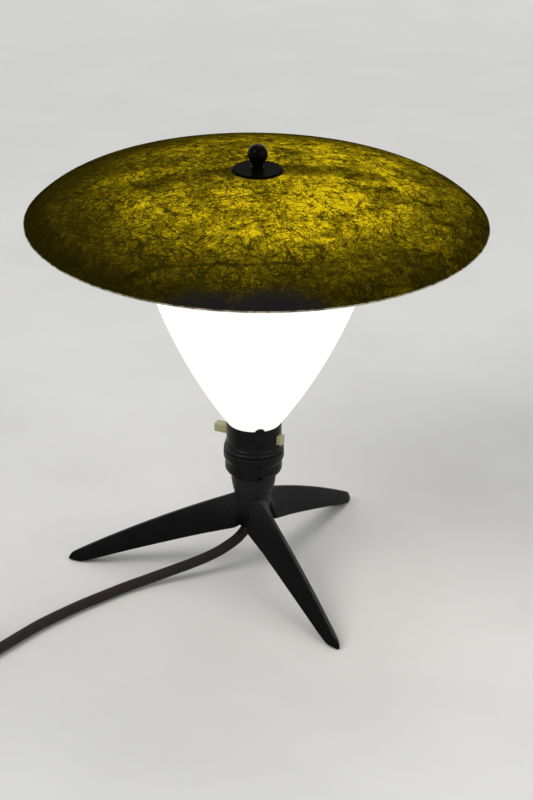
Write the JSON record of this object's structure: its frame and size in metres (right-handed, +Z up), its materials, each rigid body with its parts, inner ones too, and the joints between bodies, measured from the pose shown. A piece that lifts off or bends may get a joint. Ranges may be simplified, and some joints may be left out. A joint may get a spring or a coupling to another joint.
{
  "type": "table lamp",
  "caption": "Tripod table lamp with a push-bar lampholder, a flared opal glass and a shallow domed fibreglass disc shade under a ball nut",
  "frame": {"origin": "on the table under the lamp's axis, at the middle of the part's box without its cord", "axes": "+Z up along the lamp's axis; -Y towards the viewer of the picture; +X to the viewer's right"},
  "size_m": [0.4644, 0.3465, 0.3245],
  "materials": {
    "black_moulding": "satin",
    "black_rubber": "matte",
    "brass": "satin",
    "core_rubber": "matte",
    "dark_steel": "satin",
    "brown_moulding": "satin",
    "steel": "satin",
    "cream_moulding": "satin",
    "opal_glass": "gloss",
    "gasket_card": "matte",
    "frosted_glass": "satin",
    "dark_glass": "gloss",
    "solder": "satin",
    "fibreglass": "satin",
    "black_lacquer": "satin",
    "dark_wood": "gloss",
    "cord_braid": "matte",
    "plug_moulding": "satin"
  },
  "bodies": {
    "base": {"tripod_base": "black_moulding", "cord_bush": "black_rubber", "nipple": "brass", "nipple_nut": "brass", "core_wires": "core_rubber", "holder_cap": "black_moulding", "grub_screw": "dark_steel", "holder_body": "black_moulding", "glass_clips": "dark_steel", "terminal_block": "brown_moulding", "terminal_posts": "brass", "terminal_screws": "steel", "plunger_springs": "steel", "plungers": "brass", "switch_leaf": "brass", "opal_glass": "opal_glass", "glass_gasket": "gasket_card", "glass_ring": "black_moulding", "top_washer": "black_lacquer", "lower_washer": "gasket_card", "shade_stud": "steel", "stud_nuts": "steel", "shade_bridge": "steel", "cord_lead": "cord_braid", "cord_coil": "cord_braid", "coil_tie": "black_rubber", "plug_sleeve": "black_rubber", "plug_body": "plug_moulding", "plug_pins": "brass"},
    "switch": {"push_bar": "cream_moulding", "bar_contact": "brass"},
    "bulb": {"bulb_glass": "frosted_glass", "bulb_cap": "brass", "bulb_pins": "brass", "bulb_insulator": "dark_glass", "bulb_contacts": "solder"},
    "shade": {"shade_disc": "fibreglass"},
    "finial": {"finial_ball": "dark_wood"}
  },
  "joints": [
    {"name": "switch_slide", "type": "slide", "parent": "base", "child": "switch", "axis": [0.8988, -0.4384, 0], "range_m": [0, 0.0075]},
    {"name": "bulb_turn", "type": "hinge", "parent": "base", "child": "bulb", "pos_m": [0, 0, 0.1274], "axis": [0, 0, 1], "range_deg": [0, 20]},
    {"name": "shade_turn", "type": "hinge", "parent": "base", "child": "shade", "pos_m": [0, 0, 0.3056], "axis": [0, 0, 1], "continuous": true},
    {"name": "finial_turn", "type": "hinge", "parent": "base", "child": "finial", "pos_m": [0, 0, 0.3176], "axis": [0, 0, 1], "continuous": true}
  ]
}
